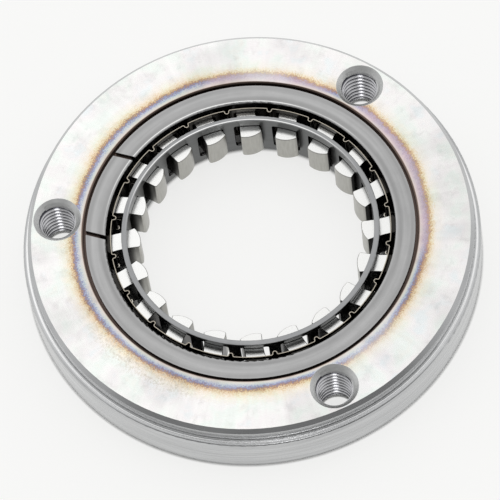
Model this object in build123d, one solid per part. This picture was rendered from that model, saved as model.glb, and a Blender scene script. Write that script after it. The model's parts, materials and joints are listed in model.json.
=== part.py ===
from build123d import *
from math import asin, cos, degrees, radians, sin
import os

# Starter one-way clutch: twenty sprags in a double cage, carried in a bolted outer-race ring.
#
# Millimetres. +Z is the clutch axis, pointing out of the face that carries the cage flange.
# The origin is the centre of the ring's plain back face, and the first bolt hole lies on +X.

# Sprags: the rolling wedges that grip the hub. Angles run counter-clockwise seen from +Z.
sprag_count = 20
hub_circle_radius = 21.4        # circle that the free sprags leave open for the hub
sprag_height = 7.34             # from the hub contact to the race contact
sprag_length = 7.2
inner_head_width = 4.55
waist_width = 3.7
outer_head_width = 4.1
inner_cam_radius = 4.6
outer_cam_radius = 3.8
sprag_lean = 12.0               # outer end leans counter-clockwise
sprag_shift = 0.2               # body's middle, beyond the radius through the race contact
hub_contact_shift = 0.5         # hub contact, beyond the radius through the race contact
blunt_corner = 0.45             # round on the leading corner of the hub cam
sharp_corner = 0.12             # break on the other three corners
end_break = 0.1                 # chamfer round both end faces

# Inner cage: a windowed ring with a thin out-turned lip at the top
inner_cage_stand = 2.55         # from the hub circle to the cage's inside
inner_cage_sheet = 0.7
inner_lip_reach = 0.35
inner_lip_height = 0.9
inner_lip_round = 0.15
inner_web_width = 2.05
inner_web_shift = 0.27          # windows sit this far counter-clockwise of the sprags
window_corner = 0.5

# Ribbon spring: a thin strip with a fold between sprags and a tongue against each of them
ribbon_thickness = 0.15
ribbon_place = 0.715            # share of the way from the inner cage's lip to the outer cage
fold_share = 0.245              # depth of a fold, as a share of the same way
fold_round = 0.33
fold_mouth_round = 0.38
ribbon_window_width = 4.9
ribbon_window_shift = 0.55
ribbon_end_gap = 0.35           # above and below the sprags' ends
ribbon_recess = 0.75            # below the inner cage's top
ribbon_lift = 0.3               # above the cages' lower edges
tongue_reach = 1.15
tongue_height = 3.0
tongue_round = 0.3
tongue_root = 0.1               # overlap of a tongue with the strip it is bent from
bar_bend = 0.25                 # middle of each bar, bent in beyond the fold
bar_bend_height = 2.0
bar_bend_sheet = 0.14

# Outer cage: a pressed flange that folds down into a windowed wall
race_clearance = 0.06           # between the free sprags and the race
outer_cage_gap = 0.1            # between the cage wall and the race
outer_cage_sheet = 0.7
outer_window_width = 5.0
outer_window_shift = 0.6
flange_width = 3.2              # from the wall's outside to the flange's edge
fold_corner_round = 0.4         # corner between the wall's inside and the flange's top
flange_bend = 0.1               # corner under the flange
flange_recess = 0.35            # below the housing's top face
drag_tab_station = 6            # sprag station in the middle of the drag tab
drag_tab_half_width = 9.0
slit_width = 0.85

# Housing: the outer race, with its bolt holes and the step round its rim
flange_gap = 0.5                # round the flange's edge
flange_seat_gap = 0.05          # under the flange
counterbore_chamfer = 0.25
race_chamfer = 0.45
bolt_count = 3
bolt_hole_radius = 4.0
countersink_width = 0.625
bolt_inner_wall = 0.625         # from the counterbore to the countersinks
bolt_outer_wall = 0.975         # from the countersinks to the spigot
spigot_chamfer = 0.75
rim_step_height = 3.6
rim_step_width = 1.25
step_corner_round = 0.38
rim_round = 0.65
base_round = 0.4

# Axial stack, from the back face upwards
base_gap = 0.8                  # back face to the cages' lower edges
lower_band = 1.6                # cage band under the windows
sprag_end_gap = 0.25            # window beyond each end of a sprag
upper_band = 1.95               # inner cage band over the windows
cage_recess = 0.15              # inner cage's top, below the housing's top face

window_base = base_gap + lower_band
sprag_base = window_base + sprag_end_gap
sprag_top = sprag_base + sprag_length
window_top = sprag_top + sprag_end_gap
inner_cage_top = window_top + upper_band
housing_height = inner_cage_top + cage_recess
flange_top = housing_height - flange_recess

race_radius = hub_circle_radius + sprag_height + race_clearance
inner_cage_radius = hub_circle_radius + inner_cage_stand
inner_cage_outside = inner_cage_radius + inner_cage_sheet
lip_radius = inner_cage_outside + inner_lip_reach
wall_outside = race_radius - outer_cage_gap
wall_inside = wall_outside - outer_cage_sheet
ribbon_radius = lip_radius + ribbon_place * (wall_inside - lip_radius)
fold_depth = fold_share * (wall_inside - lip_radius)
fold_line_round = fold_round + ribbon_thickness / 2
fold_centre = ribbon_radius - fold_depth + fold_line_round
pivot_radius = (wall_outside + wall_inside) / 2
flange_radius = wall_outside + flange_width
counterbore_radius = flange_radius + flange_gap
counterbore_floor = flange_top - outer_cage_sheet - flange_seat_gap
countersink_radius = bolt_hole_radius + countersink_width
bolt_circle_radius = counterbore_radius + bolt_inner_wall + countersink_radius
spigot_radius = bolt_circle_radius + countersink_radius + bolt_outer_wall
rim_radius = spigot_radius + rim_step_width
ledge_height = housing_height - rim_step_height
sprag_pitch = 360 / sprag_count
same = 1e-3                     # two places closer than this are one place
standing = (Align.CENTER, Align.CENTER, Align.MIN)


def ring_profile(points):
    """Close a half-section of points (radius, height) on the XZ plane."""
    with BuildSketch(Plane.XZ) as section:
        with BuildLine():
            Polyline(points, close=True)
        make_face()
    return section.sketch


def around(shape, shift_angle=0.0):
    """Repeat a shape at every sprag station."""
    turns = range(sprag_count)
    return [Rot(0, 0, shift_angle + turn * sprag_pitch) * shape for turn in turns]


def shift_to_angle(shift, radius):
    """Angle that moves a point sideways by shift at a radius."""
    return degrees(asin(shift / radius))


def make_housing():
    """Outer race ring with its counterbore, stepped rim and three tapped holes."""
    section = ring_profile([
        (race_radius, 0),
        (rim_radius, 0),
        (rim_radius, ledge_height),
        (spigot_radius, ledge_height),
        (spigot_radius, housing_height),
        (counterbore_radius, housing_height),
        (counterbore_radius, counterbore_floor),
        (race_radius, counterbore_floor),
    ])
    with BuildPart() as housing:
        add(section)
        revolve(axis=Axis.Z)
        circles = housing.edges().filter_by(GeomType.CIRCLE)

        def edge_at(radius, height):
            def off_by(edge):
                return abs(edge.radius - radius) + abs(edge.center().Z - height)

            return ShapeList([edge for edge in circles if off_by(edge) < same])

        rim_edge = edge_at(rim_radius, ledge_height)
        base_edge = edge_at(rim_radius, 0)
        spigot_edge = edge_at(spigot_radius, housing_height)
        mouth_edge = edge_at(counterbore_radius, housing_height)
        race_edges = edge_at(race_radius, 0) + edge_at(race_radius, counterbore_floor)
        step_corner = edge_at(spigot_radius, ledge_height)
        fillet(rim_edge, rim_round)
        fillet(base_edge, base_round)
        fillet(step_corner, step_corner_round)
        chamfer(spigot_edge, spigot_chamfer)
        chamfer(mouth_edge, counterbore_chamfer)
        chamfer(race_edges, race_chamfer)
        with PolarLocations(bolt_circle_radius, bolt_count):
            Cylinder(bolt_hole_radius, housing_height, align=standing, mode=Mode.SUBTRACT)
            Cone(countersink_radius, bolt_hole_radius, countersink_width,
                 align=standing, mode=Mode.SUBTRACT)
            with Locations((0, 0, housing_height - countersink_width)):
                Cone(bolt_hole_radius, countersink_radius, countersink_width,
                     align=standing, mode=Mode.SUBTRACT)
    return housing.part


def window_cutter(radius, width, base, top, corner):
    """Round-cornered block that cuts one window through a thin wall, pointing along +X."""
    reach = 2 * (width + corner)
    with BuildPart() as cutter:
        with BuildSketch(Plane.YZ.offset(radius - reach / 2)):
            with Locations((0, (base + top) / 2)):
                RectangleRounded(width, top - base, corner)
        extrude(amount=reach)
    return cutter.part


def make_outer_cage():
    """Pressed cage: wide flange, rounded fold, windowed wall and the two slits of the drag tab."""
    corner_top = flange_top - fold_corner_round
    corner_reach = wall_inside + fold_corner_round
    flange_bottom = flange_top - outer_cage_sheet
    bend_top = flange_bottom - flange_bend
    bend_reach = wall_outside + flange_bend
    with BuildPart() as cage:
        with BuildSketch(Plane.XZ):
            with BuildLine():
                Line((wall_inside, base_gap), (wall_inside, corner_top))
                RadiusArc((wall_inside, corner_top), (corner_reach, flange_top), fold_corner_round)
                Line((corner_reach, flange_top), (flange_radius, flange_top))
                Line((flange_radius, flange_top), (flange_radius, flange_bottom))
                Line((flange_radius, flange_bottom), (bend_reach, flange_bottom))
                RadiusArc((bend_reach, flange_bottom), (wall_outside, bend_top), -flange_bend)
                Line((wall_outside, bend_top), (wall_outside, base_gap))
                Line((wall_outside, base_gap), (wall_inside, base_gap))
            make_face()
        revolve(axis=Axis.Z)
        cutter = window_cutter(pivot_radius, outer_window_width, window_base, window_top, window_corner)
        add(around(cutter, shift_to_angle(outer_window_shift, pivot_radius)), mode=Mode.SUBTRACT)
        with Locations(Rotation(0, 0, drag_tab_station * sprag_pitch)):
            slit_sides = [(flange_radius, side * drag_tab_half_width, window_top) for side in (-1, 1)]
            with Locations(slit_sides):
                Box(flange_radius, slit_width, housing_height, align=standing, mode=Mode.SUBTRACT)
    return cage.part


def make_inner_cage():
    """Windowed ring between the ribbon and the sprags' inner heads, with an out-turned lip."""
    lip_base = inner_cage_top - inner_lip_height
    section = ring_profile([
        (inner_cage_radius, base_gap),
        (inner_cage_outside, base_gap),
        (inner_cage_outside, lip_base),
        (lip_radius, lip_base + inner_lip_reach),
        (lip_radius, inner_cage_top),
        (inner_cage_radius, inner_cage_top),
    ])
    window_width = 2 * inner_cage_radius * sin(radians(sprag_pitch / 2)) - inner_web_width
    with BuildPart() as cage:
        add(section)
        revolve(axis=Axis.Z)
        top_edges = cage.edges().filter_by(GeomType.CIRCLE).group_by(Axis.Z)[-1]
        fillet(top_edges, inner_lip_round)
        cutter = window_cutter(inner_cage_radius, window_width, window_base, window_top, window_corner)
        add(around(cutter, shift_to_angle(inner_web_shift, inner_cage_radius)), mode=Mode.SUBTRACT)
    return cage.part


def strip_filling(radius, notch_radius, mouth_round):
    """Solid that fills the strip up to one of its sides, notched where the strip folds in."""
    ribbon_base = base_gap + ribbon_lift
    ribbon_height = inner_cage_top - ribbon_recess - ribbon_base
    slot_length = ribbon_radius - fold_centre
    notch = Pos(fold_centre, 0) * Circle(notch_radius)
    notch += Pos(fold_centre + slot_length, 0) * Rectangle(2 * slot_length, 2 * notch_radius)
    outline = Circle(radius) - around(notch, sprag_pitch / 2)
    filling = Pos(0, 0, ribbon_base) * extrude(outline, ribbon_height)
    upright = filling.edges().filter_by(Axis.Z)
    mouths = [e for e in upright if abs(Vector(e.center().X, e.center().Y).length - radius) < same]
    return fillet(mouths, mouth_round)


def make_tongue():
    """Small tab that curls inwards from a window's leading edge, along the side of its sprag."""
    curl_centre = ribbon_radius - tongue_round
    root = Line((ribbon_radius, tongue_root), (ribbon_radius, 0))
    curl = CenterArc((curl_centre, 0), tongue_round, 0, -90)
    tip = Line((curl_centre, -tongue_round), (ribbon_radius - tongue_reach, -tongue_round))
    strip = trace([root, curl, tip], ribbon_thickness)
    tongue_base = (sprag_base + sprag_top - tongue_height) / 2
    edge_angle = shift_to_angle(ribbon_window_width / 2, ribbon_radius)
    return Rot(0, 0, edge_angle) * Pos(0, 0, tongue_base) * extrude(strip, tongue_height)


def make_bar_bend():
    """Middle of the bar between two windows, bent further in than the fold round it."""
    tip_centre = fold_centre - bar_bend
    leg_out = Line((fold_centre, fold_line_round), (tip_centre, fold_line_round))
    tip = CenterArc((tip_centre, 0), fold_line_round, 90, 180)
    leg_back = Line((tip_centre, -fold_line_round), (fold_centre, -fold_line_round))
    strip = trace([leg_out, tip, leg_back], bar_bend_sheet)
    bend_base = (sprag_base + sprag_top - bar_bend_height) / 2
    return Pos(0, 0, bend_base) * extrude(strip, bar_bend_height)


def make_ribbon():
    """Thin spring strip, folded between the sprags, with a tongue against each sprag's side."""
    half = ribbon_thickness / 2
    outside = strip_filling(ribbon_radius + half, fold_round, fold_mouth_round)
    inner_mouth_round = fold_mouth_round - ribbon_thickness
    inside = strip_filling(ribbon_radius - half, fold_round + ribbon_thickness, inner_mouth_round)
    cutter = window_cutter(ribbon_radius, ribbon_window_width, sprag_base - ribbon_end_gap,
                           sprag_top + ribbon_end_gap, window_corner)
    window_angle = shift_to_angle(ribbon_window_shift, ribbon_radius)
    strip = outside - inside - around(cutter, window_angle)
    return strip + around(make_tongue(), window_angle) + around(make_bar_bend(), sprag_pitch / 2)


def sprag_profile():
    """Cross-section of the sprag at station 0: two offset cams on a waisted, leaning body."""
    middle = (hub_circle_radius + race_radius) / 2
    reach = sprag_height / 2 + inner_head_width
    body_place = Pos(middle, sprag_shift) * Rot(0, 0, sprag_lean)
    with BuildSketch() as body:
        with BuildLine():
            inner_low = (-sprag_height / 2, -inner_head_width / 2)
            inner_high = (-sprag_height / 2, inner_head_width / 2)
            outer_high = (sprag_height / 2, outer_head_width / 2)
            outer_low = (sprag_height / 2, -outer_head_width / 2)
            Line(inner_low, inner_high)
            ThreePointArc(inner_high, (0, waist_width / 2), outer_high)
            Line(outer_high, outer_low)
            ThreePointArc(outer_low, (0, -waist_width / 2), inner_low)
        make_face()
    hub_contact_angle = asin(hub_contact_shift / hub_circle_radius)
    inner_cam_distance = hub_circle_radius + inner_cam_radius
    inner_cam_x = inner_cam_distance * cos(hub_contact_angle)
    inner_cam_y = inner_cam_distance * sin(hub_contact_angle)
    inner_cam = Pos(inner_cam_x, inner_cam_y) * Circle(inner_cam_radius)
    outer_cam = Pos(race_radius - race_clearance - outer_cam_radius, 0) * Circle(outer_cam_radius)
    inner_side = Pos(middle - reach, 0) * Rectangle(2 * reach, 4 * reach)
    outer_side = Pos(middle + reach, 0) * Rectangle(2 * reach, 4 * reach)
    body_face = body_place * body.sketch
    return (body_face & inner_cam & inner_side) + (body_face & outer_cam & outer_side)


def make_sprag():
    """One sprag at station 0, with broken corners and end faces."""
    profile = sprag_profile()
    corners = profile.vertices().sort_by(Axis.X)
    profile = fillet(corners[:1], blunt_corner)

    def is_keen(vertex):
        return any((Vector(vertex) - Vector(corner)).length < same for corner in corners[1:])

    profile = fillet([v for v in profile.vertices() if is_keen(v)], sharp_corner)
    body = Pos(0, 0, sprag_base) * extrude(profile, sprag_length)
    ends = body.faces().filter_by(Axis.Z)
    return chamfer(ends.edges(), end_break)


def export_parts():
    """Write every node of the clutch to its own STEP file."""
    os.makedirs("parts", exist_ok=True)
    export_step(make_housing(), "parts/housing.step")
    export_step(make_outer_cage(), "parts/outer_cage.step")
    export_step(make_inner_cage(), "parts/inner_cage.step")
    export_step(make_ribbon(), "parts/ribbon_spring.step")
    for number, sprag in enumerate(around(make_sprag()), start=1):
        export_step(sprag, f"parts/sprag_{number:02d}.step")


export_parts()
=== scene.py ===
import json
import logging
import math
from dataclasses import dataclass
from enum import Enum
from typing import Any

import bmesh
import bpy
from mathutils import Matrix, Vector


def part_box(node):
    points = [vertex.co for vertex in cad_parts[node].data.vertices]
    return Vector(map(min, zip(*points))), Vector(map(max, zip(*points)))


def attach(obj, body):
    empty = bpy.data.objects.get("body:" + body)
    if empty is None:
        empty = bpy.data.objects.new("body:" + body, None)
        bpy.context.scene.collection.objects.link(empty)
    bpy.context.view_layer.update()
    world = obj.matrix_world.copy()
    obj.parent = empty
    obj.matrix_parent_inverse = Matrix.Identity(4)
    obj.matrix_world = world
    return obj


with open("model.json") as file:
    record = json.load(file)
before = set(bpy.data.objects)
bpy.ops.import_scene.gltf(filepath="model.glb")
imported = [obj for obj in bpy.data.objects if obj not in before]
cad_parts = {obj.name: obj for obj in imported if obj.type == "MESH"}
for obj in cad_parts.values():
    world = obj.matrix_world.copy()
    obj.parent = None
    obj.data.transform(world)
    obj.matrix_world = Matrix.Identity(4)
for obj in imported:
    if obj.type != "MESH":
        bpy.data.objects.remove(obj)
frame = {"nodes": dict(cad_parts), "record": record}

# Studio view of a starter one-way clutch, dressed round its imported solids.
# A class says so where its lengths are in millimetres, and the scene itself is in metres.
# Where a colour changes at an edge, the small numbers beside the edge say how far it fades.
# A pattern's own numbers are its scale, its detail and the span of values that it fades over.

MM = 0.001

Colour = tuple[float, float, float]
Stops = tuple[tuple[float, Colour], ...]

WHITE: Colour = (1.0, 1.0, 1.0)
log = logging.getLogger("clutch")


def tone(red: float, green: float, blue: float) -> Colour:
    """Turn a colour as it is seen, 0 to 255 a channel, into the light that it stands for.

    Args:
        red: Red as seen.
        green: Green as seen.
        blue: Blue as seen.

    Returns:
        The three channels as linear light, 0 to 1.
    """

    def light(level: float) -> float:
        """One channel as linear light."""
        share = level / 255
        return share / 12.92 if share <= 0.04045 else ((share + 0.055) / 1.055) ** 2.4

    return light(red), light(green), light(blue)


def tint(red: float, green: float, blue: float, bare: float = 245.0) -> Colour:
    """Light that a stain lets through, from how it looks on metal that looks as bright as bare.

    Args:
        red: Red as seen.
        green: Green as seen.
        blue: Blue as seen.
        bare: How bright the bare metal looks beside it, 0 to 255.

    Returns:
        Share of light kept in each channel.
    """
    full = tone(bare, bare, bare)[0]
    return tuple(channel / full for channel in tone(red, green, blue))


class Blend(Enum):
    """Ways to lay one colour over another."""

    OVER = "MIX"
    STAIN = "MULTIPLY"


class Wire:
    """A number carried by one socket. Python's operators on it add the Math nodes."""

    def __init__(self, bench: "Bench", socket: bpy.types.NodeSocket) -> None:
        """Hold a socket of a bench's node tree."""
        self.bench = bench
        self.socket = socket

    def __add__(self, other: "Wire | float") -> "Wire":
        """This plus another."""
        return self.bench.math("ADD", self, other)

    __radd__ = __add__

    def __mul__(self, other: "Wire | float") -> "Wire":
        """This times another."""
        return self.bench.math("MULTIPLY", self, other)

    __rmul__ = __mul__

    def __sub__(self, other: "Wire | float") -> "Wire":
        """This minus another."""
        return self.bench.math("SUBTRACT", self, other)

    def __rsub__(self, other: float) -> "Wire":
        """A number minus this."""
        return self.bench.math("SUBTRACT", other, self)

    def __truediv__(self, other: "Wire | float") -> "Wire":
        """This over another."""
        return self.bench.math("DIVIDE", self, other)

    def __pow__(self, other: float) -> "Wire":
        """This to a power."""
        return self.bench.math("POWER", self, other)

    def rise(self, start: float, end: float) -> "Wire":
        """Ease from 0 where this is start to 1 where it is end, and hold outside them.

        Args:
            start: Value at which the result is 0, which may be the larger one.
            end: Value at which it is 1.

        Returns:
            The eased number.
        """
        if start > end:
            return 1 - self.rise(end, start)
        settings = {"interpolation_type": "SMOOTHSTEP"}
        return self.bench.add(
            "MapRange", settings, {"Value": self, "From Min": start, "From Max": end})


class Bench:
    """Builds the nodes of one finish, or of the studio's surroundings."""

    def __init__(self, tree: bpy.types.NodeTree) -> None:
        """Work on a node tree."""
        self.tree = tree

    def add(self, kind: str, settings: dict[str, Any] | None = None,
            inputs: dict[str | int, Any] | None = None, output: int | str = 0) -> Wire:
        """Add one node.

        Args:
            kind: The node's type, without its leading ShaderNode.
            settings: Its options, which are set first; stops holds a ramp's positions and colours.
            inputs: A value or wire for each input, by name or by number.
            output: Which output to carry on.

        Returns:
            The chosen output.
        """
        node = self.tree.nodes.new("ShaderNode" + kind)
        for name, value in (settings or {}).items():
            if name == "stops":
                self.set_stops(node.color_ramp, value)
            else:
                setattr(node, name, value)
        for key, value in (inputs or {}).items():
            self.feed(node.inputs[key], value)
        return Wire(self, node.outputs[output])

    def set_stops(self, ramp: bpy.types.ColorRamp, stops: Stops) -> None:
        """Give a ramp its stops, each a position and a colour.

        Args:
            ramp: The ramp of a node.
            stops: Positions, 0 to 1 and rising, with their colours.
        """
        while len(ramp.elements) > 1:
            ramp.elements.remove(ramp.elements[-1])
        for number, (position, colour) in enumerate(stops):
            stop = ramp.elements[0] if number == 0 else ramp.elements.new(position)
            stop.position = position
            stop.color = (*colour, 1.0)

    def feed(self, socket: bpy.types.NodeSocket, value: Any) -> None:
        """Link a wire to a socket, or set a plain value on it.

        Args:
            socket: The input.
            value: A wire, a number, a vector or a colour.
        """
        if isinstance(value, Wire):
            self.tree.links.new(value.socket, socket)
        elif socket.type == "RGBA":
            socket.default_value = (*value, 1.0)
        else:
            socket.default_value = value

    def math(self, operation: str, first: Wire | float, second: Wire | float) -> Wire:
        """One Math node on two numbers."""
        return self.add("Math", {"operation": operation}, {0: first, 1: second})

    def greater(self, first: Wire | float, second: Wire | float) -> Wire:
        """The greater of two numbers."""
        return self.math("MAXIMUM", first, second)

    def lesser(self, first: Wire | float, second: Wire | float) -> Wire:
        """The lesser of two numbers."""
        return self.math("MINIMUM", first, second)

    def join(self, x: Wire | float, y: Wire | float, z: Wire | float) -> Wire:
        """Three numbers as one vector."""
        return self.add("CombineXYZ", None, {0: x, 1: y, 2: z})

    def split(self, vector: Wire) -> list[Wire]:
        """One vector as its three numbers."""
        node = self.add("SeparateXYZ", None, {0: vector}).socket.node
        return [Wire(self, output) for output in node.outputs]

    def ramp(self, place: Wire, stops: Stops) -> Wire:
        """Colour at a place, 0 to 1, along a row of stops."""
        return self.add("ValToRGB", {"stops": stops}, {0: place})

    def stain(self, under: Any, over: Any) -> Wire:
        """Let one colour through another."""
        return self.mix(1.0, under, over, Blend.STAIN)

    def shade(self, under: Any, level: Wire) -> Wire:
        """Make a colour darker or lighter by a level, where 1 leaves it as it is."""
        return self.stain(under, self.join(level, level, level))

    def mix(self, share: Wire | float, under: Any, over: Any, blend: Blend = Blend.OVER) -> Wire:
        """Lay one colour over another.

        Args:
            share: How much of the upper colour is laid on, 0 to 1.
            under: Lower colour.
            over: Upper colour.
            blend: How it is laid on.

        Returns:
            The mixed colour.
        """
        settings = {"data_type": "RGBA", "blend_type": blend.value}
        return self.add("Mix", settings, {0: share, 6: under, 7: over}, 2)

    def choose(self, share: Wire | float, low: Wire | float, high: Wire | float) -> Wire:
        """Number that goes from low to high as share goes from 0 to 1."""
        return self.add("Mix", {"data_type": "FLOAT"}, {0: share, 2: low, 3: high}, 0)

    def noise(
            self, place: Wire, scale: float, detail: float = 2.0, roughness: float = 0.5) -> Wire:
        """Cloudy value about 0.5 at a place."""
        inputs = {"Vector": place, "Scale": scale, "Detail": detail, "Roughness": roughness}
        return self.add("TexNoise", {"noise_dimensions": "3D"}, inputs, "Fac")


class Spot:
    """Where a shaded point lies on a turned piece, in millimetres."""

    def __init__(self, bench: Bench) -> None:
        """Read the piece's own coordinates on a bench.

        Args:
            bench: The finish's bench.
        """
        self.bench = bench
        metres = bench.add("TexCoord", output="Object")
        self.place = bench.add("VectorMath", {"operation": "SCALE"}, {0: metres, 3: 1 / MM})
        self.x, self.y, self.height = bench.split(self.place)
        self.radius = (self.x * self.x + self.y * self.y) ** 0.5
        self.across = self.radius + self.height
        east, north, self.upward = bench.split(bench.add("TexCoord", output="Normal"))
        self.outward = (self.x * east + self.y * north) / self.radius

    def toward(self, heading: float) -> Wire:
        """How nearly the point lies toward a heading in degrees: 1 there, -1 opposite."""
        turn = math.radians(heading)
        return (self.x * math.cos(turn) + self.y * math.sin(turn)) / self.radius

    def to_hole(self, holes: "Holes") -> Wire:
        """Distance to the axis of the nearest hole.

        Args:
            holes: The holes to look among.

        Returns:
            The distance in millimetres.
        """
        nearest = None
        for x, y in holes.centres():
            aside, ahead = self.x - x, self.y - y
            distance = (aside * aside + ahead * ahead) ** 0.5
            nearest = distance if nearest is None else self.bench.lesser(nearest, distance)
        return nearest

    def lay(self, around: float, across: float, detail: float = 2.0, seed: float = 0.0) -> Wire:
        """Cloudy value stretched along or across the turning direction.

        Args:
            around: How quickly it changes along the turning marks; 1 is about once a radian.
            across: How quickly it changes from one mark to the next, a millimetre.
            detail: Octaves of finer change.
            seed: Shift that gives another pattern.

        Returns:
            The value, about 0.5.
        """
        ahead = self.x / self.radius * around + seed
        aside = self.y / self.radius * around
        return self.bench.noise(self.bench.join(ahead, aside, self.across * across), 1.0, detail)


@dataclass(frozen=True)
class Holes:
    """The bolt holes: how many, on which circle, and how wide. Millimetres."""

    count: int
    circle: float
    radius: float
    depth: float

    @classmethod
    def read(cls, node: str) -> "Holes":
        """Take the holes from the record's bolt pattern and their depth from a node's box.

        Args:
            node: The node that the holes run through.

        Returns:
            The holes.
        """
        mounts = frame["record"]["mounts"]
        sizes = next(mount["dims"] for mount in mounts if mount["kind"] == "bolt_pattern")
        return cls(sizes["count"], sizes["pcd_mm"] / 2, sizes["hole_r_mm"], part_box(node)[1].z / MM)

    def centres(self) -> list[tuple[float, float]]:
        """Where the holes' axes stand."""
        angles = [2 * math.pi * number / self.count for number in range(self.count)]
        return [(self.circle * math.cos(angle), self.circle * math.sin(angle)) for angle in angles]


@dataclass(frozen=True)
class Finish:
    """A surface finish: its name and the numbers that stay the same all over it."""

    name: str
    roughness: float = 0.3
    anisotropy: float = 0.0
    metallic: float = 1.0

    def start(self) -> tuple[bpy.types.Material, Bench, bpy.types.Node]:
        """Make the material, its bench and its main shader with the steady numbers set.

        Returns:
            The material, the bench and the shader.
        """
        material = bpy.data.materials.new(self.name)
        material.use_nodes = True
        bench = Bench(material.node_tree)
        shader = material.node_tree.nodes["Principled BSDF"]
        shader.inputs["Roughness"].default_value = self.roughness
        shader.inputs["Anisotropic"].default_value = self.anisotropy
        shader.inputs["Metallic"].default_value = self.metallic
        return material, bench, shader

    def relief(self, bench: Bench, height: Wire, depth_mm: float) -> Wire:
        """Normal of a surface that rises and falls by depth_mm with a height of 0 to 1."""
        inputs = {"Strength": 1.0, "Distance": depth_mm * MM, "Height": height}
        return bench.add("Bump", None, inputs)


BORE_EDGE: Colour = tint(150, 128, 118)
BARE_FACE: Colour = tint(245, 245, 243)

BLUE_HEAT: Stops = (
    (0.00, BORE_EDGE),
    (0.035, tint(222, 214, 205)),
    (0.10, tint(214, 214, 210)),
    (0.17, tint(186, 194, 208)),
    (0.235, tint(158, 162, 192)),
    (0.29, tint(150, 140, 158)),
    (0.345, tint(172, 142, 126)),
    (0.40, tint(205, 172, 138)),
    (0.46, tint(228, 206, 172)),
    (0.55, tint(240, 226, 202)),
    (0.70, tint(245, 240, 228)),
    (1.00, BARE_FACE),
)
MAUVE_HEAT: Stops = (
    (0.00, BORE_EDGE),
    (0.035, tint(226, 212, 208)),
    (0.10, tint(216, 200, 204)),
    (0.20, tint(198, 182, 196)),
    (0.29, tint(190, 172, 184)),
    (0.35, tint(188, 158, 148)),
    (0.42, tint(214, 184, 142)),
    (0.50, tint(240, 226, 196)),
    (0.65, tint(245, 242, 232)),
    (1.00, BARE_FACE),
)
OIL_FILM: Stops = (
    (0.30, (0.93, 0.97, 1.0)),
    (0.42, (1.0, 0.97, 0.99)),
    (0.52, WHITE),
    (0.62, (0.95, 1.0, 0.98)),
    (0.74, (1.0, 0.985, 0.95)),
)


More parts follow.
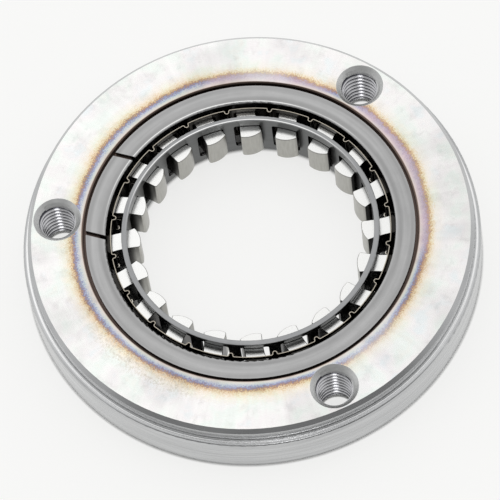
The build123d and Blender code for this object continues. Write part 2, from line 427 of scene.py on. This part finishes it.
@dataclass(frozen=True, kw_only=True)
class TintedSteel(Finish):
    """Ground steel face, heat-tinted round the bore, on a turned body. Millimetres, degrees."""

    holes: Holes
    ledge_height: float = 8.6
    ledge_radius: float = 43.6
    ledge_width: float = 0.22
    mouth_radius: float = 32.65
    countersink_reach: float = 0.625
    heat_width: float = 5.0
    heat_drift: float = 1.8
    heat_ragged: float = 1.1
    heat_frayed: float = 1.9
    mauve_headings: tuple[float, float] = (325, 29)
    stain_heading: float = 178
    stain_share: float = 0.75
    scorch_share: float = 0.9
    face_colour: Colour = (0.93, 0.93, 0.925)
    ledge_colour: Colour = (0.90, 0.90, 0.90)
    body_colour: Colour = (0.52, 0.525, 0.53)
    scorch_colour: Colour = tone(112, 92, 80)
    recess_colour: Colour = (0.085, 0.062, 0.054)
    countersink_colour: Colour = (0.72, 0.725, 0.72)
    stain_colour: Colour = (0.66, 0.61, 0.52)
    countersink_roughness: float = 0.5
    grain_gloss: float = 0.14
    grain_mm: float = 0.004

    def make(self) -> bpy.types.Material:
        """Build the finish.

        Returns:
            The material.
        """
        material, bench, shader = self.start()
        spot = Spot(bench)
        face_height, mouth = self.holes.depth, self.mouth_radius
        on_face = spot.height.rise(face_height - 0.03, face_height - 0.01)
        colour = bench.mix(on_face, self.body(bench, spot), self.face(bench, spot))
        # Painted highlight: the turned ledge is painted as bright as the ground face, for the bright
        # line of light that it catches.
        colour = bench.mix(self.on_ledge(spot), colour, self.ledge_colour)
        in_mouth = spot.radius.rise(mouth + 0.12, mouth - 0.05)
        colour = bench.mix(in_mouth * self.scorch_share, colour, self.scorch_colour)
        # Painted shade: the counterbore's wall and floor under the flange are painted near-black for
        # the shade in that narrow recess.
        in_shaded_recess = spot.radius.rise(mouth - 0.1, mouth - 0.25)
        colour = bench.mix(in_shaded_recess, colour, self.recess_colour)
        rim = self.holes.radius + self.countersink_reach
        in_sink = spot.to_hole(self.holes).rise(rim + 0.03, rim)
        colour = bench.mix(in_sink, colour, self.countersink_colour)
        bench.feed(shader.inputs["Base Color"], colour)
        grain = spot.lay(3.0, 5.0, 4.0)
        gloss = bench.choose(in_sink, self.roughness, self.countersink_roughness)
        bench.feed(shader.inputs["Roughness"], gloss + (grain - 0.5) * self.grain_gloss)
        bench.feed(shader.inputs["Normal"], self.relief(bench, grain, self.grain_mm))
        return material

    def on_ledge(self, spot: Spot) -> Wire:
        """Where the narrow ledge between spigot and rim lies, from 0 to 1; it takes a painted
        highlight.

        Args:
            spot: The shaded point.

        Returns:
            1 on the ledge and 0 off it.
        """
        inner = self.ledge_radius
        outer = inner + self.ledge_width
        top = self.ledge_height
        return (spot.radius.rise(inner - 0.1, inner) * spot.radius.rise(outer + 0.1, outer)
                * spot.height.rise(top - 0.06, top - 0.02))

    def face(self, bench: Bench, spot: Spot) -> Wire:
        """Colour of the ground face with its heat tint, oil film, stains, random patches, and radial
        streaks and sectors that are partly turning marks and partly painted reflection.

        Args:
            bench: The finish's bench.
            spot: The shaded point.

        Returns:
            The colour.
        """
        reach = spot.radius - self.mouth_radius
        film = bench.ramp(bench.noise(spot.place, 0.22, 3.0), OIL_FILM)
        filmed = bench.stain(self.heated(bench, spot, reach), film)
        near_mouth = reach.rise(1.2, 2.2) * reach.rise(6.5, 3.0)
        specks = bench.noise(spot.place, 1.9, 4.0, 0.75).rise(0.47, 0.6) * near_mouth
        burnt = specks * self.stained(bench, spot) * self.stain_share
        stained = bench.mix(burnt, filmed, self.stain_colour)
        # Radial streaks and broad sectors follow the turning marks and also stand for the bright and
        # dark sectors that the turned face reflects: partly painted reflection. The patches are
        # random tone.
        turned_streaks_and_sheen = spot.lay(26.0, 0.03, 3.0).rise(0.3, 0.7) * 0.05
        tone_and_sheen_sectors = spot.lay(3.2, 0.1, 3.0, 7.0).rise(0.32, 0.52) * 0.12
        patches = bench.noise(spot.place, 0.35, 5.0, 0.62).rise(0.3, 0.5) * 0.10
        return bench.shade(stained, turned_streaks_and_sheen + tone_and_sheen_sectors + patches + 0.75)

    def heated(self, bench: Bench, spot: Spot, reach: Wire) -> Wire:
        """Colour of the bare face with the heat tint on it.

        Args:
            bench: The finish's bench.
            spot: The shaded point.
            reach: How far the point lies outside the bore's mouth.

        Returns:
            The colour: blue round most of the bore and mauve on two sides of it.
        """
        drift = (bench.noise(spot.place, 0.07, 2.0) - 0.5) * self.heat_drift
        ragged = (bench.noise(spot.place, 1.2, 3.0, 0.6) - 0.5) * self.heat_ragged
        frayed = (bench.noise(spot.place, 4.0, 2.0) - 0.5) * self.heat_frayed
        depth = (reach + (drift + (ragged + frayed)) * reach.rise(0.1, 1.2)) / self.heat_width
        wide, narrow = self.mauve_headings
        mauve = bench.greater(
            spot.toward(wide).rise(0.80, 0.92), spot.toward(narrow).rise(0.90, 0.97))
        heat = bench.mix(mauve, bench.ramp(depth, BLUE_HEAT), bench.ramp(depth, MAUVE_HEAT))
        strength = bench.noise(spot.place, 0.05, 1.0).rise(0.30, 0.52) * 0.5 + 0.5
        return bench.mix(strength, self.face_colour, bench.stain(self.face_colour, heat))

    def stained(self, bench: Bench, spot: Spot) -> Wire:
        """Where oil has burnt on, from 0 to 1: mostly on one side of the ring.

        Args:
            bench: The finish's bench.
            spot: The shaded point.

        Returns:
            1 where it is thick and 0 where there is none.
        """
        elsewhere = bench.noise(spot.place, 0.09, 1.0).rise(0.5, 0.7) * 0.4
        return bench.greater(spot.toward(self.stain_heading).rise(0.90, 0.985), elsewhere)

    def body(self, bench: Bench, spot: Spot) -> Wire:
        """Colour of the turned walls, edges and holes.

        Args:
            bench: The finish's bench.
            spot: The shaded point.

        Returns:
            The colour.
        """
        bands = spot.lay(2.0, 1.6, 3.0, 3.0).rise(0.2, 0.8) * 0.30 + 0.85
        return bench.shade(self.body_colour, bands)


@dataclass(frozen=True, kw_only=True)
class SatinSteel(Finish):
    """Pressed or rolled steel with a soft sheen and faint turning marks. Millimetres, degrees."""

    colour: Colour
    wall_colour: Colour
    wall_height: float
    wall_fade: float = 0.15
    low_colour: Colour | None = None
    around: float = 2.0
    across: float = 2.2
    contrast: float = 0.22
    worn_colour: Colour = (0.92, 0.92, 0.91)
    worn_radius: float = 0.0
    worn_heading: float = 0.0
    shaded_bands: tuple[tuple[float, float, float], ...] = ()
    cloud_gloss: float = 0.2
    grain_mm: float = 0.004

    def make(self) -> bpy.types.Material:
        """Build the finish.

        Returns:
            The material.
        """
        material, bench, shader = self.start()
        spot = Spot(bench)
        bands = spot.lay(self.around, self.across, 3.0)
        cloud = bench.noise(spot.place, 0.5, 4.0)
        level = (bands - 0.5) * self.contrast * 2 + (cloud - 0.5) * self.contrast + 1.0
        # Painted shade: darker bands across the flange's width for the shading of its slightly
        # crowned surface.
        for start, end, drop in self.shaded_bands:
            middle = (start + end) / 2
            band = spot.radius.rise(start, middle) * spot.radius.rise(end, middle)
            level = level * (1 - band * drop)
        bare = self.skin(bench, spot)
        # Painted highlight: a bright line on the flat beside the fold or lip edge, toward one side,
        # for the light that the rounded edge catches.
        if self.worn_radius:
            bare = bench.mix(self.worn(spot, bands), bare, self.worn_colour)
        bench.feed(shader.inputs["Base Color"], bench.shade(bare, level))
        bench.feed(shader.inputs["Roughness"], self.roughness + (cloud - 0.5) * self.cloud_gloss)
        grain = spot.lay(6.0, 6.0, 3.0, 2.0)
        bench.feed(shader.inputs["Normal"], self.relief(bench, grain, self.grain_mm))
        return material

    def skin(self, bench: Bench, spot: Spot) -> Wire:
        """Colour before the painted highlight line and the turning marks.

        Args:
            bench: The finish's bench.
            spot: The shaded point.

        Returns:
            The painted shade colour below the wall's height and the plain one above it. With a lit
            low colour, only edges that face up are bright, with painted light where they lie low,
            and all else takes the painted shade.
        """
        # Painted shade: below the wall's height the cage and spring walls are painted near-black for
        # the shade inside the cages.
        high = spot.height.rise(self.wall_height, self.wall_height + self.wall_fade)
        if self.low_colour is None:
            return bench.mix(high, self.wall_colour, self.colour)
        # Painted light and shade: faces that point up take the edge colours, made much lighter where
        # they lie low in shade, and the rest takes the painted shade.
        edge = bench.mix(high, self.low_colour, self.colour)
        return bench.mix(spot.upward.rise(0.3, 0.8), self.wall_colour, edge)

    def worn(self, spot: Spot, bands: Wire) -> Wire:
        """A painted highlight line on the flat at one radius, toward one heading, from 0 to 1.

        Args:
            spot: The shaded point.
            bands: Turning marks, which break the line.

        Returns:
            1 on the line and 0 off it.
        """
        edge = self.worn_radius
        line = (spot.radius.rise(edge - 0.04, edge + 0.02)
                * spot.radius.rise(edge + 0.24, edge + 0.14))
        side = spot.toward(self.worn_heading).rise(0.15, 0.95) * bands.rise(0.2, 0.45)
        return line * side * spot.upward.rise(0.7, 0.95)


@dataclass(frozen=True, kw_only=True)
class PolishedSteel(Finish):
    """Hardened steel with lapped ends and finely ground sides. Millimetres."""

    end_low: float
    end_high: float
    race_radius: float = 28.8
    tip_radius: float = 22.2
    tip_fade: float = 1.4
    end_colour: Colour = (0.90, 0.90, 0.885)
    side_colour: Colour = (0.45, 0.445, 0.415)
    scratch_colour: Colour = tone(150, 148, 142)
    oiled_colour: Colour = (0.04, 0.038, 0.035)
    scratch_share: float = 0.35
    side_dulling: float = 0.1
    scratch_mm: float = 0.002

    def make(self) -> bpy.types.Material:
        """Build the finish.

        Returns:
            The material.
        """
        material, bench, shader = self.start()
        spot = Spot(bench)
        ends = (spot.height.rise(self.end_high - 0.03, self.end_high)
                + spot.height.rise(self.end_low + 0.03, self.end_low))
        scratches = bench.noise(bench.join(spot.x * 3, spot.y * 3, spot.height * 0.4), 1.0, 4.0)
        scored = scratches.rise(0.3, 0.7) * self.scratch_share
        side = bench.mix(scored, self.side_colour, self.scratch_colour)
        # Painted shade: sides toward the tip and sides that face outward are painted near-black for
        # the shade between the sprags.
        shaded_flank = bench.greater(
            spot.radius.rise(self.tip_radius, self.tip_radius + self.tip_fade),
            spot.outward.rise(-0.1, 0.25))
        side = bench.mix(shaded_flank, side, self.oiled_colour)
        # Painted shade: everything near the race is painted near-black for the deep shade under the
        # outer cage.
        shaded_head = spot.radius.rise(self.race_radius - 1.9, self.race_radius - 1.7)
        colour = bench.mix(shaded_head, bench.mix(ends, side, self.end_colour), self.oiled_colour)
        bench.feed(shader.inputs["Base Color"], colour)
        gloss = bench.choose(ends, self.roughness + self.side_dulling, self.roughness)
        bench.feed(shader.inputs["Roughness"], gloss)
        bench.feed(shader.inputs["Normal"], self.relief(bench, scratches, self.scratch_mm))
        return material


@dataclass(frozen=True, kw_only=True)
class CutSteel(Finish):
    """Bare steel of a tapped hole: bright crests, painted shade in the roots, matt cones.
    Millimetres.
    """

    holes: Holes
    thread_depth: float
    cone_depth: float
    cone_fade: float = 0.45
    crest_colour: Colour = (0.60, 0.60, 0.62)
    root_colour: Colour = (0.045, 0.045, 0.055)
    cone_colour: Colour = (0.68, 0.685, 0.68)
    cone_roughness: float = 0.5
    grain_mm: float = 0.004

    def make(self) -> bpy.types.Material:
        """Build the finish.

        Returns:
            The material.
        """
        material, bench, shader = self.start()
        spot = Spot(bench)
        distance = spot.to_hole(self.holes)
        crest = self.holes.radius - self.thread_depth
        # Painted shade: the thread's roots are painted near-black for the shade in the grooves.
        in_shaded_root = distance.rise(crest + 0.04, crest + 0.34)
        cut = bench.mix(in_shaded_root, self.crest_colour, self.root_colour)
        low, high = self.cone_depth, self.holes.depth - self.cone_depth
        cone = (spot.height.rise(low + self.cone_fade, low - 0.02)
                + spot.height.rise(high - self.cone_fade, high + 0.02))
        bench.feed(shader.inputs["Base Color"], bench.mix(cone, cut, self.cone_colour))
        gloss = bench.choose(cone, self.roughness, self.cone_roughness)
        bench.feed(shader.inputs["Roughness"], gloss)
        grain = bench.noise(spot.place, 3.0, 3.0)
        bench.feed(shader.inputs["Normal"], self.relief(bench, grain, self.grain_mm))
        return material


def shaped(name: str, mesh: bmesh.types.BMesh, finish: bpy.types.Material) -> bpy.types.Object:
    """Turn a finished bmesh into a piece at the origin.

    Args:
        name: The piece's name.
        mesh: Its shape, which is used up.
        finish: Its material.

    Returns:
        The new piece, linked to the scene.
    """
    data = bpy.data.meshes.new(name)
    mesh.to_mesh(data)
    mesh.free()
    data.materials.append(finish)
    piece = bpy.data.objects.new(name, data)
    bpy.context.scene.collection.objects.link(piece)
    return piece


def coat(node: str, finish: bpy.types.Material) -> None:
    """Give a CAD node one finish all over.

    Args:
        node: The node's name.
        finish: Its material.
    """
    slots = frame["nodes"][node].data.materials
    slots.clear()
    slots.append(finish)
    log.info("%s: %s", node, finish.name)


@dataclass
class Thread:
    """Ridges of the thread in the ring's holes, between two countersinks' cones. Millimetres."""

    holes: Holes
    pitch: float = 1.25
    depth: float = 0.68
    bite: float = 0.03
    crest_share: float = 0.25
    root_share: float = 0.10
    countersink_reach: float = 0.625
    land: float = 0.15
    steps_a_turn: int = 48
    sharp_angle: float = 30

    def cone_depth(self) -> float:
        """How deep the countersink's cone runs before the first groove opens in it."""
        return self.countersink_reach + self.depth / 2

    def draw(
            self, mesh: bmesh.types.BMesh,
            section: list[tuple[float, float]]) -> list[bmesh.types.BMVert | bmesh.types.BMEdge]:
        """Draw a closed section, as radii and heights, and give its vertices and edges.

        Args:
            mesh: The mesh to draw in.
            section: Corners in order, each a radius and a height.

        Returns:
            The new vertices and edges.
        """
        verts = [mesh.verts.new((radius, 0, height)) for radius, height in section]
        return verts + [
            mesh.edges.new((vert, verts[(number + 1) % len(verts)]))
            for number, vert in enumerate(verts)]

    def rise_ridge(self, mesh: bmesh.types.BMesh) -> None:
        """Spin the ridge's tapered section up the hole.

        Args:
            mesh: The empty mesh that it starts.
        """
        crest = self.pitch * self.crest_share / 2
        root = self.pitch * (1 - self.root_share) / 2
        major = self.holes.radius
        minor = major - self.depth
        base = self.cone_depth()
        outline = self.draw(mesh, [
            (major + self.bite, base - root),
            (minor, base - crest),
            (minor, base + crest),
            (major + self.bite, base + root),
        ])
        run = self.holes.depth - 2 * base
        turns = run / self.pitch
        steps = round(turns * self.steps_a_turn)
        bmesh.ops.spin(
            mesh, geom=outline, cent=(0, 0, 0), axis=(0, 0, 1), angle=2 * math.pi * turns,
            steps=steps, dvec=(0, 0, run / steps), use_merge=False)
        open_edges = [edge for edge in mesh.edges if edge.is_boundary]
        bmesh.ops.holes_fill(mesh, edges=open_edges, sides=4)
        self.trim(mesh)

    def trim(self, mesh: bmesh.types.BMesh) -> None:
        """Push back what stands in the cone of either countersink.

        Args:
            mesh: The ridge, standing on the origin.
        """
        major = self.holes.radius
        for vert in mesh.verts:
            inset = min(vert.co.z, self.holes.depth - vert.co.z)
            cone = min(major + self.countersink_reach - inset, major + self.bite)
            radius = vert.co.xy.length
            if cone > radius:
                vert.co.xy *= cone / radius

    def turn_cone(self, mesh: bmesh.types.BMesh, mouth: float, inward: int) -> None:
        """Carry a countersink's cone on, from the hole's wall to the crests.

        Args:
            mesh: The mesh that it joins.
            mouth: Height of the hole's mouth.
            inward: 1 where the hole runs up from the mouth, -1 where it runs down.
        """
        wall = self.holes.radius + self.bite
        throat = self.holes.radius - self.depth / 2
        tip = self.cone_depth()
        land_end = tip + self.land
        section = [
            (wall, self.countersink_reach - self.bite),
            (throat, tip),
            (throat, land_end),
            (wall, land_end + self.depth / 2),
        ]
        outline = self.draw(mesh, [(radius, mouth + inward * inset) for radius, inset in section])
        bmesh.ops.spin(
            mesh, geom=outline, cent=(0, 0, 0), axis=(0, 0, 1), angle=2 * math.pi,
            steps=self.steps_a_turn, use_merge=True)

    def cut(
            self, name: str, centre: tuple[float, float],
            finish: bpy.types.Material) -> bpy.types.Object:
        """Make one hole's thread with the cones at its two ends.

        Args:
            name: The piece's name.
            centre: Where the hole's axis stands.
            finish: Its material.

        Returns:
            The thread, not yet riding on a body.
        """
        mesh = bmesh.new()
        self.rise_ridge(mesh)
        self.turn_cone(mesh, 0, 1)
        self.turn_cone(mesh, self.holes.depth, -1)
        bmesh.ops.recalc_face_normals(mesh, faces=mesh.faces)
        bmesh.ops.translate(mesh, vec=(*centre, 0), verts=mesh.verts)
        bmesh.ops.scale(mesh, vec=(MM, MM, MM), verts=mesh.verts)
        piece = shaped(name, mesh, finish)
        piece.data.shade_smooth()
        piece.data.set_sharp_from_angle(angle=math.radians(self.sharp_angle))
        return piece


@dataclass
class Housing:
    """Outer-race ring: dressed CAD solid with threads cut in its holes."""

    node: str = "housing"
    slot: str = "housing_steel"

    def dress(self) -> None:
        """Give the ring its tinted steel."""
        holes = Holes.read(self.node)
        coat(self.node, TintedSteel(
            "heat_tinted_steel", roughness=0.26, anisotropy=0.6, holes=holes).make())

    def cut_threads(self) -> None:
        """Add the thread in every hole."""
        holes = Holes.read(self.node)
        thread = Thread(holes)
        finish = CutSteel(
            "cut_thread_steel", roughness=0.22, holes=holes, thread_depth=thread.depth,
            cone_depth=thread.cone_depth()).make()
        for number, centre in enumerate(holes.centres(), 1):
            piece = thread.cut(f"thread_{number}", centre, finish)
            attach(piece, self.node)
            log.info("%s: %d faces", piece.name, len(piece.data.polygons))


@dataclass
class Cages:
    """The two pressed cages and the ribbon spring between them. Millimetres and degrees."""

    flange_edge: float = 0.36
    lip_edge: float = 0.2
    lip_fade: float = 0.1
    strip_edge: float = 1.0
    flange_worn_radius: float = 28.38
    flange_worn_heading: float = 52
    flange_bands: tuple[tuple[float, float, float], ...] = ((28.1, 29.9, 0.22), (30.5, 32.4, 0.16))
    lip_worn_radius: float = 24.1
    lip_worn_heading: float = 48

    def top(self, node: str) -> float:
        """Height of a node's top."""
        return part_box(node)[1].z / MM

    def dress_outer(self) -> None:
        """Give the outer cage a satin flange with bands of painted shade and a painted highlight
        line, and painted shade on its wall.
        """
        node = "outer_cage"
        coat(node, SatinSteel(
            "pressed_flange_steel", roughness=0.36, anisotropy=0.35, across=1.4,
            colour=(0.45, 0.45, 0.45), wall_colour=(0.03, 0.03, 0.03),
            wall_height=self.top(node) - self.flange_edge,
            worn_radius=self.flange_worn_radius, worn_heading=self.flange_worn_heading,
            shaded_bands=self.flange_bands).make())

    def dress_inner(self) -> None:
        """Give the inner cage a satin lip with a painted highlight line, and painted shade on its
        wall.
        """
        node = "inner_cage"
        coat(node, SatinSteel(
            "inner_cage_steel", roughness=0.33, anisotropy=0.2, across=1.8,
            colour=(0.34, 0.345, 0.35), wall_colour=(0.135, 0.138, 0.138),
            wall_height=self.top(node) - self.lip_edge, wall_fade=self.lip_fade,
            worn_radius=self.lip_worn_radius, worn_heading=self.lip_worn_heading).make())

    def dress_ribbon(self) -> None:
        """Give the ribbon spring painted shade on its sides, its own colour on its top edges and
        painted light on up-facing edges that lie low.
        """
        node = "ribbon_spring"
        coat(node, SatinSteel(
            "spring_strip_steel", roughness=0.3, contrast=0.08,
            colour=(0.46, 0.42, 0.35), wall_colour=(0.05, 0.046, 0.04),
            wall_height=self.top(node) - self.strip_edge, low_colour=(0.95, 0.90, 0.80)).make())

    def dress(self) -> None:
        """Give each strip its own steel."""
        self.dress_outer()
        self.dress_inner()
        self.dress_ribbon()


@dataclass
class Sprags:
    """The twenty sprags, which share one finish."""

    prefix: str = "sprag_"

    def dress(self) -> None:
        """Give every sprag its polished steel."""
        names = sorted(name for name in frame["nodes"] if name.startswith(self.prefix))
        low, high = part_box(names[0])
        finish = PolishedSteel(
            "polished_sprag_steel", roughness=0.22, end_low=low.z / MM, end_high=high.z / MM).make()
        for name in names:
            coat(name, finish)


@dataclass(frozen=True)
class SoftBox:
    """A lamp that faces the clutch. Metres, degrees and watts.

    It hangs at turn from the camera's side, counter-clockwise seen from above, at tilt above
    the floor and at away from the clutch.
    """

    name: str
    turn: float
    tilt: float
    away: float
    size: tuple[float, float]
    power: float


@dataclass
class Studio:
    """Floor, lamps, surroundings and camera. Metres, unless a name says otherwise."""

    target_mm: tuple[float, float, float] = (-3.88, -2.71, 12.2)
    azimuth: float = -47.36
    elevation: float = 62.40
    roll: float = -8.62
    distance: float = 0.6832
    sensor_mm: float = 36.0
    lens_mm: float = 255.81
    clip: tuple[float, float] = (0.05, 20.0)
    floor_radius: float = 3.0
    floor_drop: float = 0.00005
    floor_colour: Colour = (0.95, 0.95, 0.94)
    floor_roughness: float = 0.6
    floor_specular: float = 0.2
    glow_colour: Colour = (1.0, 1.0, 0.99)
    glow_share: float = 0.75
    shaded_ring_mm: tuple[float, float] = (24.5, 44.5)
    hole_glow_mm: float = 3.3
    room_level: float = 0.78
    dark_level: float = 0.25
    boxes: tuple[SoftBox, ...] = (
        SoftBox("back_box", 180, 60, 1.6, (1.5, 1.1), 0.8),
        SoftBox("left_box", -125, 43, 1.5, (1.7, 1.7), 2.2),
        SoftBox("right_box", 92, 53, 1.5, (1.7, 1.7), 1.9),
        SoftBox("front_spot", 0, 58, 1.5, (0.3, 0.3), 1.2),
    )

    def toward_camera(self) -> Vector:
        """Unit vector from the clutch to the camera.

        Returns:
            The vector.
        """
        turn = math.radians(self.azimuth)
        tilt = math.radians(self.elevation)
        flat = math.cos(tilt)
        return Vector((math.sin(turn) * flat, -math.cos(turn) * flat, math.sin(tilt)))

    def place_camera(self) -> None:
        """Stand the camera at its angle, with its slight roll."""
        back = self.toward_camera()
        level = Vector((0, 0, 1)).cross(back).normalized()
        rise = back.cross(level)
        lean = math.radians(self.roll)
        right = level * math.cos(lean) + rise * math.sin(lean)
        up = rise * math.cos(lean) - level * math.sin(lean)
        data = bpy.data.cameras.new("camera")
        data.sensor_width = self.sensor_mm
        data.lens = self.lens_mm
        data.clip_start, data.clip_end = self.clip
        camera = bpy.data.objects.new("camera", data)
        place = Vector(self.target_mm) * MM + back * self.distance
        camera.matrix_world = Matrix((
            (right.x, up.x, back.x, place.x),
            (right.y, up.y, back.y, place.y),
            (right.z, up.z, back.z, place.z),
            (0, 0, 0, 1),
        ))
        bpy.context.scene.collection.objects.link(camera)
        bpy.context.scene.camera = camera

    def lay_floor(self) -> None:
        """Lay the pale floor just under the ring."""
        mesh = bmesh.new()
        bmesh.ops.create_circle(mesh, cap_ends=True, radius=self.floor_radius, segments=64)
        bmesh.ops.translate(mesh, vec=(0, 0, -self.floor_drop), verts=mesh.verts)
        shaped("floor", mesh, self.paint_floor())

    def paint_floor(self) -> bpy.types.Material:
        """Make the floor's pale paint, which glows faintly for rays that come to look at it.

        Returns:
            The material.
        """
        material = bpy.data.materials.new("pale_floor")
        material.use_nodes = True
        shader = material.node_tree.nodes["Principled BSDF"]
        shader.inputs["Base Color"].default_value = (*self.floor_colour, 1.0)
        shader.inputs["Roughness"].default_value = self.floor_roughness
        shader.inputs["Specular IOR Level"].default_value = self.floor_specular
        bench = Bench(material.node_tree)
        kinds = ("Camera", "Glossy", "Transmission")
        camera, glossy, clear = (
            bench.add("LightPath", output=f"Is {kind} Ray") for kind in kinds)
        seen = bench.lesser(camera + glossy + clear, 1.0)
        glow = bench.add("Emission", None, {"Color": self.glow_colour, "Strength": 1.0})
        lit = Wire(bench, shader.outputs[0])
        share = seen * self.open_floor(Spot(bench)) * self.glow_share
        surface = bench.add("MixShader", None, {0: share, 1: lit, 2: glow})
        bench.feed(material.node_tree.nodes["Material Output"].inputs["Surface"], surface)
        return material

    def open_floor(self, spot: Spot) -> Wire:
        """Floor that isn't under the ring, from 0 to 1: round it, in its bore, in its holes.

        Args:
            spot: The shaded point.

        Returns:
            1 on the open floor and 0 under the ring.
        """
        inner, outer = self.shaded_ring_mm
        hole = self.hole_glow_mm
        return (spot.radius.rise(inner, inner - 1) + spot.radius.rise(outer, outer + 0.5)
                + spot.to_hole(Holes.read("housing")).rise(hole + 0.3, hole))

    def hang(self, box: SoftBox) -> None:
        """Hang one soft box.

        Args:
            box: What hangs where.
        """
        data = bpy.data.lights.new(box.name, "AREA")
        data.shape = "RECTANGLE"
        data.size, data.size_y = box.size
        data.energy = box.power
        lamp = bpy.data.objects.new(box.name, data)
        ahead = self.toward_camera()
        heading = math.atan2(ahead.y, ahead.x) + math.radians(box.turn)
        tilt = math.radians(box.tilt)
        flat = math.cos(tilt)
        place = Vector((math.cos(heading) * flat, math.sin(heading) * flat, math.sin(tilt)))
        lamp.location = place * box.away
        lamp.rotation_euler = place.to_track_quat("Z", "Y").to_euler()
        bpy.context.scene.collection.objects.link(lamp)

    def surround(self) -> None:
        """Set the pale room round the clutch, dark behind the camera."""
        world = bpy.data.worlds.new("room")
        bpy.context.scene.world = world
        world.use_nodes = True
        bench = Bench(world.node_tree)
        heading = bench.add("TexCoord", output="Generated")
        ahead = self.toward_camera()
        level = Vector((ahead.x, ahead.y, 0)).normalized()
        front = bench.add(
            "VectorMath", {"operation": "DOT_PRODUCT"}, {0: heading, 1: tuple(level)}, "Value")
        height = bench.split(heading)[2]
        dark = front.rise(0.1, 0.6) * height.rise(0.08, 0.3)
        background = world.node_tree.nodes["Background"]
        background.inputs["Color"].default_value = (*WHITE, 1.0)
        strength = bench.choose(dark, self.room_level, self.dark_level)
        bench.feed(background.inputs["Strength"], strength)

    def build(self) -> None:
        """Set up everything that isn't the clutch."""
        self.lay_floor()
        for box in self.boxes:
            self.hang(box)
        self.surround()
        self.place_camera()
        bpy.context.scene.view_settings.view_transform = "Standard"


def main() -> None:
    """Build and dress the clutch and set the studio."""
    logging.basicConfig(level=logging.INFO, format="%(message)s")
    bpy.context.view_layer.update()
    housing = Housing()
    housing.dress()
    housing.cut_threads()
    Cages().dress()
    Sprags().dress()
    Studio().build()


if __name__ == "__main__":
    main()
